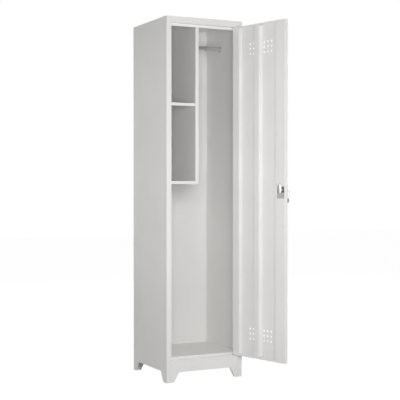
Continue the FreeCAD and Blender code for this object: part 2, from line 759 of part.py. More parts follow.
barrel = piece("lock_barrel")
plug_bore = "(plug_radius + plug_fit)"
pad(barrel, "y", BEZEL_FRONT, "-plate_thick", ("0", "0", "bezel_radius"))
pad(barrel, "y", "-plate_thick", "barrel_length", ("0", "0", "barrel_radius"))
cut(barrel, "y", BEZEL_FRONT, "barrel_length", ("0", "0", plug_bore))
place_on_lock(barrel)

nut = piece("lock_nut")
flat = "(nut_flats / 2)"
point = "(nut_flats / sqrt(3))"
hexagon = [
    (point, "0"), (f"{point} / 2", flat), (f"-{point} / 2", flat),
    (f"-{point}", "0"), (f"-{point} / 2", f"-{flat}"), (f"{point} / 2", f"-{flat}"),
]
pad(nut, "y", "lock_floor", "lock_floor + nut_thick", hexagon, ("0", "0", barrel_hole))
place_on_lock(nut)

plug = piece("lock_plug")
pad(plug, "y", f"{BEZEL_FRONT} + plug_sink", "plug_end", ("0", "0", "plug_radius"))
keyway = rectangle("-keyway_width / 2", "keyway_width / 2", "-keyway_height / 2", "keyway_height / 2")
cut(plug, "y", BEZEL_FRONT, "keyway_end", keyway)
cut(plug, "y", "cam_screw_start", "plug_end", ("0", "0", "cam_screw_radius"))
place_on_lock(plug)

cam = piece("lock_cam")
cam_low = "(cam_hub - cam_tail)"
cam_blade = [
    ("-cam_hub", cam_low), ("cam_hub", cam_low), ("cam_hub", "cam_shoulder"),
    ("cam_tip", "cam_reach"), ("-cam_tip", "cam_reach"), ("-cam_hub", "cam_shoulder"),
]
pad(cam, "y", "plug_end", CAM_BACK, cam_blade)
pad(cam, "y", "plug_end", CAM_BACK, ("0", cam_low, "cam_hub"))
cut(cam, "y", "plug_end", CAM_BACK, ("0", "0", "cam_screw_radius"))
place_on_lock(cam)

cam_screw = piece("cam_screw")
pad(cam_screw, "y", "cam_screw_start", CAM_BACK, ("0", "0", "cam_screw_radius"))
pad(cam_screw, "y", CAM_BACK, f"{CAM_BACK} + cam_screw_head", ("0", "0", "cam_screw_head_radius"))
place_on_lock(cam_screw)


def key(label, hanging, y, z):
    """Key and its moulded head, about the hole in the head; it points inwards, or down when it hangs."""

    def outline(start, end, side):
        if hanging:
            return rectangle(f"-({side})", side, f"-({end})", f"-({start})")
        return rectangle(start, end, f"-({side})", side)

    bow_start = "(-key_hole_inset)"
    bow_end = f"({bow_start} + key_bow_length)"
    tang = f"({bow_end} - key_tang)"
    head = piece(label + "_head")
    bow = outline(bow_start, bow_end, "key_bow / 2")
    pad(head, "x", "-key_head_half", "key_head_half", bow)
    round_at(head, "x", "key_bow_corner", *bow)
    cut(head, "x", "-key_head_half", "key_head_half", ("0", "0", "key_hole_radius"))
    slot = outline(f"{tang} - key_head_fit", bow_end, "key_blade / 2 + key_head_fit")
    cut(head, "x", "-key_thick / 2 - key_head_fit", "key_thick / 2 + key_head_fit", slot)
    place_on_lock(head, y, z)

    body = piece(label)
    pad(body, "x", "-key_thick / 2", "key_thick / 2", outline(tang, "key_reach", "key_blade / 2"))
    place_on_lock(body, y, z)


key("door_key", False, "-key_hole_out", "0")

HANG = "(key_hole_radius - ring_wire - ring_gap)"
RING_Z = f"(-{HANG} - ring_radius)"
ring = piece("key_ring")
ring_sketch = new_sketch(ring, "x", "0")
draw_circle(ring_sketch, "0", "ring_radius", "ring_wire")
ring_turn = ring.newObject("PartDesign::Revolution", "key_ring_revolution")
ring_turn.Profile = ring_sketch
ring_turn.ReferenceAxis = (ring_sketch, ["H_Axis"])
ring_turn.Angle = 360
doc.recompute()
place_on_lock(ring, "-key_hole_out", RING_Z)

key("spare_key", True, "-key_hole_out", f"{RING_Z} - ring_radius - {HANG}")

# ---------------------------------------------------------------- check and write

doc.recompute()
for obj in doc.Objects:
    if "Invalid" in obj.State or "Error" in obj.State:
        raise RuntimeError("feature failed: " + obj.Label)
os.makedirs("parts", exist_ok=True)
for part in parts:
    shape = part.Shape
    if shape.isNull() or not shape.isValid():
        raise RuntimeError("bad shape: " + part.Label)
    box = shape.BoundBox
    print("%-20s solids %d  volume %.1f  x %.1f %.1f  y %.1f %.1f  z %.1f %.1f" % (
        part.Label, len(shape.Solids), shape.Volume,
        box.XMin, box.XMax, box.YMin, box.YMax, box.ZMin, box.ZMax))
    shape.exportStep("parts/%s.step" % part.Label)
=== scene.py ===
import json
import math
import bmesh
import bpy
from mathutils import Matrix, Vector


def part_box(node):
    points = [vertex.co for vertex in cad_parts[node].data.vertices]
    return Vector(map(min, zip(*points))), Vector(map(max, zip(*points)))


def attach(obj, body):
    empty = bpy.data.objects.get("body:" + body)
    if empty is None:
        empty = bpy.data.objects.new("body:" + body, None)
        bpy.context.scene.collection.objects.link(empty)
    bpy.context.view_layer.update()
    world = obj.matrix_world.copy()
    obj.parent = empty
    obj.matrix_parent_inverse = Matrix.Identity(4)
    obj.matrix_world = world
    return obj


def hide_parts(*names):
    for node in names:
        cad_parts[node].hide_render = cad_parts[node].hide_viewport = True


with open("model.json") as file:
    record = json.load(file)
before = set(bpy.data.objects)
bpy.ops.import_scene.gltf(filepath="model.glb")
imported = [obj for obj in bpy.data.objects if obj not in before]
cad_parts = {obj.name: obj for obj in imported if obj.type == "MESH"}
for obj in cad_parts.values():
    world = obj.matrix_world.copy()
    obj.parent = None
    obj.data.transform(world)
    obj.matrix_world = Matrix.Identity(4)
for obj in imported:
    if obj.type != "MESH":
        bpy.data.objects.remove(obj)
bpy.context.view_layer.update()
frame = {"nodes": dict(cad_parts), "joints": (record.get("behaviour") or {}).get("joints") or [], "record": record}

# Looks of the broom cupboard: its finishes, the fine shape of its small pieces,
# and a plain pale studio.  Metres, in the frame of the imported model.

nodes = frame["nodes"]
joints = {joint["name"]: joint for joint in frame["joints"]}
slots = {part["node"]: part["material_slot"] for part in frame["record"]["subparts"]}
bodies = {
    node: body
    for body, members in frame["record"]["behaviour"]["bodies"].items()
    for node in members
}
scene = bpy.context.scene
MM = 0.001


# ---------------------------------------------------------------- materials

class Shader:
    """A node material with one Principled shader, and short ways to feed it."""

    def __init__(self, name):
        self.material = bpy.data.materials.new(name)
        self.material.use_nodes = True
        self.tree = self.material.node_tree
        self.tree.nodes.clear()
        output = self.add("ShaderNodeOutputMaterial")
        self.surface = self.add("ShaderNodeBsdfPrincipled")
        self.link(self.surface.outputs[0], output.inputs[0])
        self.place = self.add("ShaderNodeTexCoord").outputs["Object"]
        self.normal = None

    def add(self, kind):
        return self.tree.nodes.new(kind)

    def link(self, one, other):
        self.tree.links.new(one, other)

    def set(self, name, value):
        self.surface.inputs[name].default_value = value

    def feed(self, name, source):
        self.link(source, self.surface.inputs[name])

    def stretched(self, scale):
        """Object coordinates scaled by a different number along each axis."""
        mapping = self.add("ShaderNodeMapping")
        mapping.inputs["Scale"].default_value = scale
        self.link(self.place, mapping.inputs["Vector"])
        return mapping.outputs[0]

    def noise(self, scale, detail=4.0, roughness=0.5, where=None):
        node = self.add("ShaderNodeTexNoise")
        node.inputs["Scale"].default_value = scale
        node.inputs["Detail"].default_value = detail
        node.inputs["Roughness"].default_value = roughness
        self.link(where or self.place, node.inputs["Vector"])
        return node.outputs["Fac"]

    def ramp(self, source, *stops):
        """Each stop is a place and a grey value."""
        node = self.add("ShaderNodeValToRGB")
        while len(node.color_ramp.elements) < len(stops):
            node.color_ramp.elements.new(1)
        for element, (place, value) in zip(node.color_ramp.elements, stops):
            element.position = place
            element.color = (value, value, value, 1)
        self.link(source, node.inputs["Fac"])
        return node.outputs["Color"]

    def mix(self, amount, one, other):
        """Colours or sockets, mixed by a socket."""
        node = self.add("ShaderNodeMix")
        node.data_type = "RGBA"
        self.link(amount, node.inputs[0])
        for socket, value in ((node.inputs[6], one), (node.inputs[7], other)):
            if isinstance(value, tuple):
                socket.default_value = (*value, 1)
            else:
                self.link(value, socket)
        return node.outputs[2]

    def times(self, one, other):
        node = self.add("ShaderNodeMath")
        node.operation = "MULTIPLY"
        self.link(one, node.inputs[0])
        self.link(other, node.inputs[1])
        return node.outputs[0]

    def bump(self, height, depth, strength):
        """Adds relief on top of what is there already."""
        node = self.add("ShaderNodeBump")
        node.inputs["Distance"].default_value = depth
        node.inputs["Strength"].default_value = strength
        self.link(height, node.inputs["Height"])
        if self.normal is not None:
            self.link(self.normal, node.inputs["Normal"])
        self.normal = node.outputs[0]
        self.feed("Normal", self.normal)

    def edges(self, radius):
        """White along the outside edges of a piece."""
        bevel = self.add("ShaderNodeBevel")
        bevel.samples = 4
        bevel.inputs["Radius"].default_value = radius
        true_normal = self.add("ShaderNodeNewGeometry").outputs["Normal"]
        compare = self.add("ShaderNodeVectorMath")
        compare.operation = "DOT_PRODUCT"
        self.link(bevel.outputs[0], compare.inputs[0])
        self.link(true_normal, compare.inputs[1])
        return self.ramp(compare.outputs["Value"], (0.80, 1.0), (0.97, 0.0))


def tone(colour, factor):
    return tuple(min(1.0, channel * factor) for channel in colour)


def powder_coat(name, colour):
    """Satin powder coat on folded sheet: orange peel, faint marks of hands, and paler paint along the edges as a
    painted highlight.
    """
    look = Shader(name)
    cloud = look.ramp(look.noise(scale=3.2, detail=3.0), (0.35, 0.0), (0.68, 1.0))
    base = look.mix(cloud, tone(colour, 0.975), tone(colour, 1.02))
    specks = look.ramp(look.noise(scale=420.0, detail=2.0), (0.60, 0.0), (0.78, 0.35))
    base = look.mix(specks, base, tone(colour, 0.94))
    grime = look.noise(scale=7.0, detail=8.0, roughness=0.62)
    base = look.mix(look.ramp(grime, (0.52, 0.0), (0.80, 0.16)), base, tone(colour, 0.90))
    # painted highlight: paler paint along the edges, broken up by noise, stands in for the light that the folds
    # catch
    highlight_breakup = look.ramp(look.noise(scale=30.0), (0.38, 0.25), (0.62, 0.9))
    base = look.mix(look.times(look.edges(radius=1.2 * MM), highlight_breakup), base, tone(colour, 1.10))
    look.feed("Base Color", base)
    gloss = look.noise(scale=9.0, detail=6.0, roughness=0.65)
    look.feed("Roughness", look.ramp(gloss, (0.3, 0.40), (0.7, 0.52)))
    look.set("Specular IOR Level", 0.45)
    waves = look.noise(scale=2.6, detail=2.0)             # the sheet is never quite flat
    look.bump(waves, depth=1.2 * MM, strength=0.35)
    orange_peel = look.noise(scale=620.0, detail=2.0)
    look.bump(orange_peel, depth=0.05 * MM, strength=0.6)
    return look.material


def plated(name, colour, roughness, grain, stain):
    """Plated steel with drawn or polished grain, stains in the plating and brighter edges.

    roughness is the lowest and the highest, grain the fineness along each axis."""
    look = Shader(name)
    lines = look.noise(scale=1.0, detail=3.0, roughness=0.6, where=look.stretched(grain))
    stains = look.noise(scale=60.0, detail=5.0, roughness=0.6)
    base = look.mix(look.ramp(stains, (0.40, 0.0), (0.70, 0.55)), colour, stain)
    base = look.mix(look.ramp(lines, (0.35, 0.0), (0.75, 0.30)), base, tone(colour, 0.78))
    base = look.mix(look.edges(radius=0.5 * MM), base, tone(colour, 1.12))
    look.feed("Base Color", base)
    look.set("Metallic", 1.0)
    low, high = roughness
    look.feed("Roughness", look.ramp(lines, (0.30, low), (0.72, high)))
    look.bump(lines, depth=0.02 * MM, strength=0.5)
    look.bump(look.noise(scale=900.0, detail=3.0), depth=0.015 * MM, strength=0.4)
    return look.material


def moulded(name, colour, roughness, grain_scale, grain_depth):
    """Moulded plastic with a spark-eroded grain, paler along its edges."""
    look = Shader(name)
    flow = look.ramp(look.noise(scale=40.0, detail=3.0), (0.3, 0.0), (0.7, 1.0))
    base = look.mix(flow, tone(colour, 0.92), tone(colour, 1.06))
    dust = look.noise(scale=260.0, detail=5.0, roughness=0.7)
    base = look.mix(look.ramp(dust, (0.56, 0.0), (0.72, 0.20)), base, tone(colour, 1.5))
    base = look.mix(look.edges(radius=0.8 * MM), base, tone(colour, 1.35))
    look.feed("Base Color", base)
    low, high = roughness
    look.feed("Roughness", look.ramp(look.noise(scale=25.0, detail=5.0), (0.35, low), (0.65, high)))
    look.bump(look.noise(scale=grain_scale, detail=2.0), grain_depth, strength=0.8)
    return look.material


# Linear colours; the stains are the duller patches of a plating.
PAINT = (0.850, 0.843, 0.829)
ZINC, ZINC_STAIN = (0.78, 0.785, 0.795), (0.70, 0.71, 0.73)
NICKEL, NICKEL_STAIN = (0.80, 0.79, 0.765), (0.66, 0.64, 0.60)
# painted shade: the lock barrel and nut get this dark steel so that they show as the shade deep in the lock's well
WELL_SHADE_STEEL, WELL_SHADE_STEEL_STAIN = (0.28, 0.28, 0.285), (0.19, 0.19, 0.195)
NYLON = (0.72, 0.71, 0.68)
GREY_PLASTIC = (0.49, 0.49, 0.485)
DARK_PLASTIC = (0.12, 0.12, 0.123)
looks = {
    # the record's material slot: its finish
    "painted_steel": powder_coat("powder_coat", PAINT),
    "zinc_steel": plated("zinc_plate", ZINC, (0.18, 0.34), (40, 900, 900), ZINC_STAIN),
    "nickel_steel": plated("nickel_plate", NICKEL, (0.20, 0.34), (500, 500, 60), NICKEL_STAIN),
    # painted shade: the dark steel of the lock barrel and nut stands in for the shade of the lock's well
    "dark_steel": plated("dark_steel", WELL_SHADE_STEEL, (0.42, 0.60), (300, 300, 300), WELL_SHADE_STEEL_STAIN),
    "nylon": moulded("nylon", NYLON, (0.35, 0.48), 700.0, 0.02 * MM),
    "grey_plastic": moulded("grey_plastic", GREY_PLASTIC, (0.42, 0.58), 1500.0, 0.04 * MM),
    "dark_plastic": moulded("dark_plastic", DARK_PLASTIC, (0.38, 0.52), 1300.0, 0.03 * MM),
}


# ---------------------------------------------------------------- carried nodes

MERGE_PACKED = 0.002 * MM        # packed vertices nearer than this are one
EDGE_ANGLE = math.radians(30)    # folds sharper than this get a rounded edge


def soften(node, width):
    """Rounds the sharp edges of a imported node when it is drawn."""
    merge = node.modifiers.new("weld", "WELD")
    merge.merge_threshold = MERGE_PACKED
    bevel = node.modifiers.new("edges", "BEVEL")
    bevel.width = width
    bevel.segments = 2
    bevel.limit_method = "ANGLE"
    bevel.angle_limit = EDGE_ANGLE
    bevel.use_clamp_overlap = True


EDGE = {
    # material slot: width of its rounded edges
    "painted_steel": 0.28 * MM,
    "zinc_steel": 0.25 * MM,
    "nickel_steel": 0.15 * MM,
    "dark_steel": 0.2 * MM,
    "nylon": 0.3 * MM,
    "grey_plastic": 0.5 * MM,
    "dark_plastic": 0.5 * MM,
}
SMOOTH = ("key_ring", "rod_hook")    # bent wire, with no edges to round
for name, node in nodes.items():
    node.data.materials.clear()
    node.data.materials.append(looks[slots[name]])
    if name not in SMOOTH:
        soften(node, EDGE[slots[name]])


# ---------------------------------------------------------------- making pieces

def local_frame(origin, forward):
    """Frame with Y along forward, which is level, and Z up."""
    y = Vector(forward).normalized()
    z = Vector((0, 0, 1))
    axes = Matrix((y.cross(z), y, z)).transposed().to_4x4()
    return Matrix.Translation(origin) @ axes


def local_box(name, place):
    """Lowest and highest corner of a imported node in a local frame."""
    inverse = place.inverted()
    corners = [inverse @ vertex.co for vertex in nodes[name].data.vertices]
    low, high = [Vector([pick(c[i] for c in corners) for i in range(3)]) for pick in (min, max)]
    return low, high


MERGE_MADE = 0.0005 * MM         # made vertices nearer than this are one
SHARP_ANGLE = math.radians(34)   # made pieces are shaded smooth up to this fold


def weld(mesh):
    """Merges vertices that lie in one place and turns all faces outwards."""
    shape = bmesh.new()
    shape.from_mesh(mesh)
    bmesh.ops.remove_doubles(shape, verts=shape.verts, dist=MERGE_MADE)
    bmesh.ops.recalc_face_normals(shape, faces=shape.faces)
    shape.to_mesh(mesh)
    shape.free()


def new_object(name, vertices, faces):
    mesh = bpy.data.meshes.new(name)
    mesh.from_pydata([tuple(v) for v in vertices], [], faces)
    thing = bpy.data.objects.new(name, mesh)
    scene.collection.objects.link(thing)
    weld(mesh)
    return thing


def apply_modifiers(thing):
    """Puts the modified mesh in place of the plain one."""
    evaluated = thing.evaluated_get(bpy.context.evaluated_depsgraph_get())
    mesh = bpy.data.meshes.new_from_object(evaluated)
    thing.modifiers.clear()
    thing.data = mesh


def carve(thing, *cutters):
    """Takes the cutters' shapes out of a piece."""
    for cutter in cutters:
        boolean = thing.modifiers.new("carve", "BOOLEAN")
        boolean.operation = "DIFFERENCE"
        boolean.solver = "EXACT"
        boolean.object = cutter
        apply_modifiers(thing)
        bpy.data.objects.remove(cutter)


def round_off(thing, width, segments):
    """Rounds the edges that are sharper than 32 degrees."""
    bevel = thing.modifiers.new("round", "BEVEL")
    bevel.width = width
    bevel.segments = segments
    bevel.limit_method = "ANGLE"
    bevel.angle_limit = math.radians(32)
    apply_modifiers(thing)
    weld(thing.data)


def turned(name, profile, steps, shape=None):
    """Piece turned about local Y; the profile is a closed loop of (y, r) or ends on the axis.

    shape, if given, changes a radius by its angle, y and radius."""
    hollow = min(r for _, r in profile) > 0
    vertices, faces = [], []
    for step in range(steps):
        angle = math.tau * step / steps
        for y, r in profile:
            reach = shape(angle, y, r) if shape and r > 0 else r
            vertices.append((reach * math.cos(angle), y, reach * math.sin(angle)))
    count = len(profile)
    for step in range(steps):
        one, two = step * count, (step + 1) % steps * count
        for i in range(count if hollow else count - 1):
            j = (i + 1) % count
            faces.append((one + i, one + j, two + j, two + i))
    return new_object(name, vertices, faces)


def prism(name, outline, low, high):
    """Flat outline of (x, z) places, solid from low to high along local Y."""
    count = len(outline)
    vertices = [(x, y, z) for y in (low, high) for x, z in outline]
    faces = [tuple(range(count)), tuple(range(2 * count - 1, count - 1, -1))]
    faces += [(i, (i + 1) % count, (i + 1) % count + count, i + count) for i in range(count)]
    return new_object(name, vertices, faces)


def arc(centre, radius, start, end, steps):
    """Places on an arc, angles in degrees."""
    turn = [math.radians(start + (end - start) * i / steps) for i in range(steps + 1)]
    return [(centre[0] + radius * math.cos(a), centre[1] + radius * math.sin(a)) for a in turn]


def rounded_rectangle(x_low, x_high, z_low, z_high, radius, steps=8):
    corners = (
        (x_high - radius, z_low + radius, -90), (x_high - radius, z_high - radius, 0),
        (x_low + radius, z_high - radius, 90), (x_low + radius, z_low + radius, 180),
    )
    places = []
    for x, z, start in corners:
        places += arc((x, z), radius, start, start + 90, steps)
    return places


def place_piece(thing, place, *stands_for):
    """Settles a finished piece: local mesh to the model's frame, finish, body and slot."""
    thing.data.transform(place)
    thing.data.materials.clear()
    node = stands_for[0]
    thing.data.materials.append(looks[slots[node]])
    thing.data.shade_smooth()
    thing.data.set_sharp_from_angle(angle=SHARP_ANGLE)
    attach(thing, bodies[node])
    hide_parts(*stands_for)


def joined(name, things):
    """One piece out of several."""
    shape = bmesh.new()
    for thing in things:
        shape.from_mesh(thing.data)
        bpy.data.objects.remove(thing)
    mesh = bpy.data.meshes.new(name)
    shape.to_mesh(mesh)
    shape.free()
    whole = bpy.data.objects.new(name, mesh)
    scene.collection.objects.link(whole)
    return whole


# ---------------------------------------------------------------- screws

def pan_screw(name, head_radius, head_height, shank_radius, shank_length):
    """Pan-head screw with a cross recess; its head sits on y = 0 and points to +Y."""
    point, rim = 0.3 * MM, 0.1 * MM
    profile = [(-shank_length, 0), (-shank_length + point, shank_radius), (0, shank_radius)]
    profile += [(0, head_radius - rim), (rim, head_radius)]
    dome, flat, steps = 0.45 * head_height, 0.62 * head_radius, 8
    for i in range(steps + 1):
        lean = math.radians(90 * i / steps)
        reach = flat + (head_radius - flat) * math.cos(lean)
        profile.append((head_height - dome + dome * math.sin(lean), reach))
    profile.append((head_height, 0))
    screw = turned(name, profile, 48)
    arm, slot = 0.56 * head_radius, 0.17 * head_radius
    floor, above = 0.4 * head_height, 2 * head_height
    for x, z in ((arm, slot), (slot, arm)):
        cross = [(-x, -z), (x, -z), (x, z), (-x, z)]
        carve(screw, prism("cross", cross, floor, above))
    round_off(screw, 0.12 * MM, segments=2)
    return screw


# ---------------------------------------------------------------- hanging rod

SCREW_SHANK = 2 * MM                       # radius
SCREW_HEAD = (3.6 * MM, 2.2 * MM)          # radius and height
FLANGE_PLATE = 3 * MM                      # its thickness
ROD_CLEARANCE = 0.15 * MM


def screw_offset(rod_z):
    """Height of the upper screws above the rod."""
    _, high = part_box("rod_flange_screws")
    return high.z - rod_z - SCREW_HEAD[0]


def rod_flange(node, way):
    """Pressed plate and collar; local Y runs from the wall towards the rod."""
    low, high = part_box(node)
    rod_low, rod_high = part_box("hanging_rod")
    centre = (rod_low + rod_high) / 2
    bore = (rod_high.z - rod_low.z) / 2 + ROD_CLEARANCE
    rim = (high.z - low.z) / 2
    length = high.x - low.x
    plate, collar, lip = FLANGE_PLATE, bore + 1.45 * MM, 0.6 * MM
    border, slope, sunk = 2.6 * MM, 0.6 * MM, 0.4 * MM
    profile = [(0, bore), (0, rim - lip), (lip / 2, rim)]
    profile += [(plate - lip, rim), (plate, rim - lip), (plate, rim - border)]
    profile += [(plate - sunk, rim - border - slope), (plate - sunk, collar + 1.4 * MM)]
    profile += [(plate + 0.2 * MM, collar + 0.4 * MM), (plate + 1.2 * MM, collar)]
    profile += [(length - 0.5 * MM, collar), (length, collar - 0.4 * MM), (length, bore)]
    flange = turned(node + "_pressing", profile, 72)
    wall_x = low.x if way > 0 else high.x
    place = local_frame((wall_x, centre.y, centre.z), (way, 0, 0))
    under, over = -plate, 2 * plate
    spin = Matrix.Rotation(math.radians(2), 4, "Y")    # keeps the hole's corners off the plate's
    for side in (-1, 1):
        drill = [(under, 0), (under, SCREW_SHANK), (over, SCREW_SHANK), (over, 0)]
        hole = turned("hole", drill, 32)
        hole.data.transform(Matrix.Translation((0, 0, side * screw_offset(centre.z))) @ spin)
        carve(flange, hole)
    place_piece(flange, place, node)


def flange_screws():
    """Two screws in each flange."""
    rod_low, rod_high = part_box("hanging_rod")
    centre = (rod_low + rod_high) / 2
    shank = 4 * MM
    made = []
    for node, way in (("rod_flange_left", 1), ("rod_flange_right", -1)):
        low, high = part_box(node)
        face_x = low.x + FLANGE_PLATE if way > 0 else high.x - FLANGE_PLATE
        for side in (-1, 1):
            screw = pan_screw("screw", *SCREW_HEAD, SCREW_SHANK, shank)
            spin = Matrix.Rotation(math.radians(25 + 31 * len(made)), 4, "Y")
            spot = (face_x, centre.y, centre.z + side * screw_offset(centre.z))
            screw.data.transform(local_frame(spot, (way, 0, 0)) @ spin)
            made.append(screw)
    place_piece(joined("rod_flange_screw_set", made), Matrix.Identity(4), "rod_flange_screws")


rod_flange("rod_flange_left", 1)
rod_flange("rod_flange_right", -1)
flange_screws()


# ---------------------------------------------------------------- lock

lock_axis = joints["lock_turn"]
LOCK = local_frame(lock_axis["pos_m"], [-part for part in lock_axis["axis"]])


def thread(pitch, depth, core, start, end):
    """Radius change for a screw thread between two levels, outside the core's radius."""
    def reach(angle, y, r):
        if not start < y < end or r < core:
            return r
        phase = (y / pitch - angle / math.tau) % 1
        fade = min(1, (y - start) / pitch, (end - y) / pitch)
        return r - depth * fade * abs(2 * phase - 1)
    return reach


def lock_barrel():
    """Threaded barrel with a rounded bezel round the plug."""
    low, high = local_box("lock_barrel", LOCK)
    _, plug_high = local_box("lock_plug", LOCK)
    bezel, front, back = high.x, low.y, high.y
    bezel_back = front + 2 * MM
    bore = plug_high.x + 0.07 * MM
    outer = 8 * MM
    dip = front + 0.15 * MM
    profile = [(back, bore), (front + 0.5 * MM, bore), (dip, bore + 0.3 * MM)]
    profile += [(dip, bore + 1.6 * MM), (front, bore + 2.0 * MM)]
    crown_deep, crown_wide, steps = 1.1 * MM, 1.4 * MM, 6
    for i in range(steps + 1):
        lean = math.radians(90 * i / steps)
        y = front + crown_deep * (1 - math.cos(lean))
        profile.append((y, bezel - crown_wide * (1 - math.sin(lean))))
    profile += [(bezel_back - 0.1 * MM, bezel), (bezel_back, bezel - 0.15 * MM)]
    profile += [(bezel_back, outer)]
    first, last, rings = bezel_back + 0.2 * MM, back - 0.4 * MM, 110
    profile += [(first + (last - first) * i / rings, outer) for i in range(rings + 1)]
    profile += [(back, outer - 0.5 * MM)]
    pitch, depth, core, start = 1 * MM, 0.5 * MM, 7 * MM, 1 * MM
    shape = thread(pitch, depth, core, start, last)
    barrel = turned("lock_barrel_turned", profile, 96, shape)
    place_piece(barrel, LOCK, "lock_barrel")


def lock_nut():
    """Hexagon nut, its corners turned down by a chamfer on both faces."""
    low, high = local_box("lock_nut", LOCK)
    front, back = low.y, high.y
    flat, bore, chamfer, levels = 11 * MM, 8.1 * MM, 0.4 * MM, 16
    profile = [(back, bore + chamfer), (back - chamfer, bore)]
    profile += [(front + chamfer, bore), (front, bore + chamfer)]
    profile += [(front + (back - front) * i / levels, high.x) for i in range(levels + 1)]
    sixth, half = math.radians(60), math.radians(30)

    cone_start = flat - 0.25 * MM

    def hexagon(angle, y, r):
        """The bore stays; the outside is the nearer of the flat and the chamfer's cone."""
        if r < high.x - MM:
            return r
        lean = (angle + 2 * half) % sixth - half
        side = flat / math.cos(lean)
        cone = cone_start + min(y - front, back - y) * math.tan(sixth)
        return min(side, cone)

    nut = turned("lock_nut_hexagon", profile, 144, hexagon)
    place_piece(nut, LOCK, "lock_nut")


def lock_cam():
    """Stamped cam: rounded tail, tapered blade with a rounded tip and a pressed groove."""
    low, high = local_box("lock_cam", LOCK)
    hub, reach = high.x, high.z
    tail = low.z + hub
    tip, shoulder, corner = 4.5 * MM, 21 * MM, 2.2 * MM
    outline = arc((0, tail), hub, 180, 360, 28)
    outline += [(hub, shoulder - MM), (hub - 0.3 * MM, shoulder + 0.2 * MM)]
    outline += arc((tip - corner, reach - corner), corner, 20, 90, 6)
    outline += arc((-tip + corner, reach - corner), corner, 90, 160, 6)
    outline += [(-hub + 0.3 * MM, shoulder + 0.2 * MM), (-hub, shoulder - MM)]
    cam = prism("lock_cam_stamping", outline, low.y, high.y)
    groove_half, groove_low, groove_high = 2 * MM, 12 * MM, 30 * MM
    groove = rounded_rectangle(-groove_half, groove_half, groove_low, groove_high, 1.9 * MM)
    carve(cam, prism("groove", groove, high.y - 0.5 * MM, high.y + MM))
    round_off(cam, 0.3 * MM, segments=2)
    place_piece(cam, LOCK, "lock_cam")


def cam_screw():
    """Pan-head screw that holds the cam on the plug."""
    low, high = local_box("cam_screw", LOCK)
    head = 2.5 * MM
    seat = high.y - head
    screw = pan_screw("cam_screw_panhead", high.x, head, SCREW_SHANK, seat - low.y)
    place_piece(screw, LOCK @ Matrix.Translation((0, seat, 0)), "cam_screw")


lock_barrel()
lock_nut()
lock_cam()
cam_screw()


# ---------------------------------------------------------------- keys

KEY_HOLE = 2.5 * MM                        # radius of the hole in a key's head
KEY_INSET = 3.5 * MM                       # its centre to the end of the head
BLADE_PLAY = 0.05 * MM                     # room round the blade in its head
BITTING = (0.5, 1.1, 0.7, 1.3, 0.4, 0.9)   # depth of each cut, mm


def key_frame(node, hanging):
    """Frame about the hole in a key's head; local Y runs along the blade, X through the key."""
    low, high = local_box(node + "_head", LOCK)
    if hanging:
        hole = Vector(((low.x + high.x) / 2, (low.y + high.y) / 2, high.z - KEY_INSET))
        along = Matrix.Rotation(math.radians(-90), 4, "X")
    else:
        hole = Vector(((low.x + high.x) / 2, low.y + KEY_INSET, (low.z + high.z) / 2))
        along = Matrix.Identity(4)
    return LOCK @ Matrix.Translation(hole) @ along


def key_blade(node, place):
    """Milled blade with cuts on both edges and a groove along each side."""
    low, high = local_box(node, place)
    half, edge = high.x, high.z
    start, end = low.y, high.y
    groove_low, groove_high, groove_deep = -0.2 * MM, 1.5 * MM, 0.45 * MM
    cuts_from, pitch, ramp, gap = end - 16 * MM, 2.3 * MM, 0.45 * MM, 0.01 * MM
    stations = [(start, 0)]
    for index, depth in enumerate(BITTING):
        middle = cuts_from + pitch * (index + 0.5)
        cut = depth * MM
        stations += [
            (middle - pitch / 2 + gap, 0), (middle - ramp, cut),
            (middle + ramp, cut), (middle + pitch / 2 - gap, 0),
        ]
    stations += [(end - 1.8 * MM, 0), (end - 0.4 * MM, 1.6 * MM), (end, 2.2 * MM)]
    vertices, faces = [], []
    slim, slope = 0.25 * MM, 0.2 * MM
    for y, cut in stations:
        one_side = [
            (-half, -edge + cut + slim), (-half, groove_low),
            (-half + groove_deep, groove_low + slope), (-half + groove_deep, groove_high - slope),
            (-half, groove_high), (-half, edge - cut - slim),
            (-half + slim, edge - cut), (half - slim, edge - cut),
        ]
        section = one_side + [(-x, -z) for x, z in one_side]
        vertices += [(x, y, z) for x, z in section]
    count = len(section)
    for s in range(len(stations) - 1):
        for i in range(count):
            j = (i + 1) % count
            faces.append((s * count + i, s * count + j, (s + 1) * count + j, (s + 1) * count + i))
    faces.append(tuple(range(count)))
    faces.append(tuple(range(len(vertices) - 1, len(vertices) - count - 1, -1)))
    place_piece(new_object(node + "_milled", vertices, faces), place, node)


def turned_flat(thing):
    """Turns a prism that stands along Y so that it stands along X, with its outline in Y and Z."""
    swap = Matrix(((0, 1, 0), (1, 0, 0), (0, 0, 1))).to_4x4()
    thing.data.transform(swap)
    thing.data.flip_normals()
    return thing


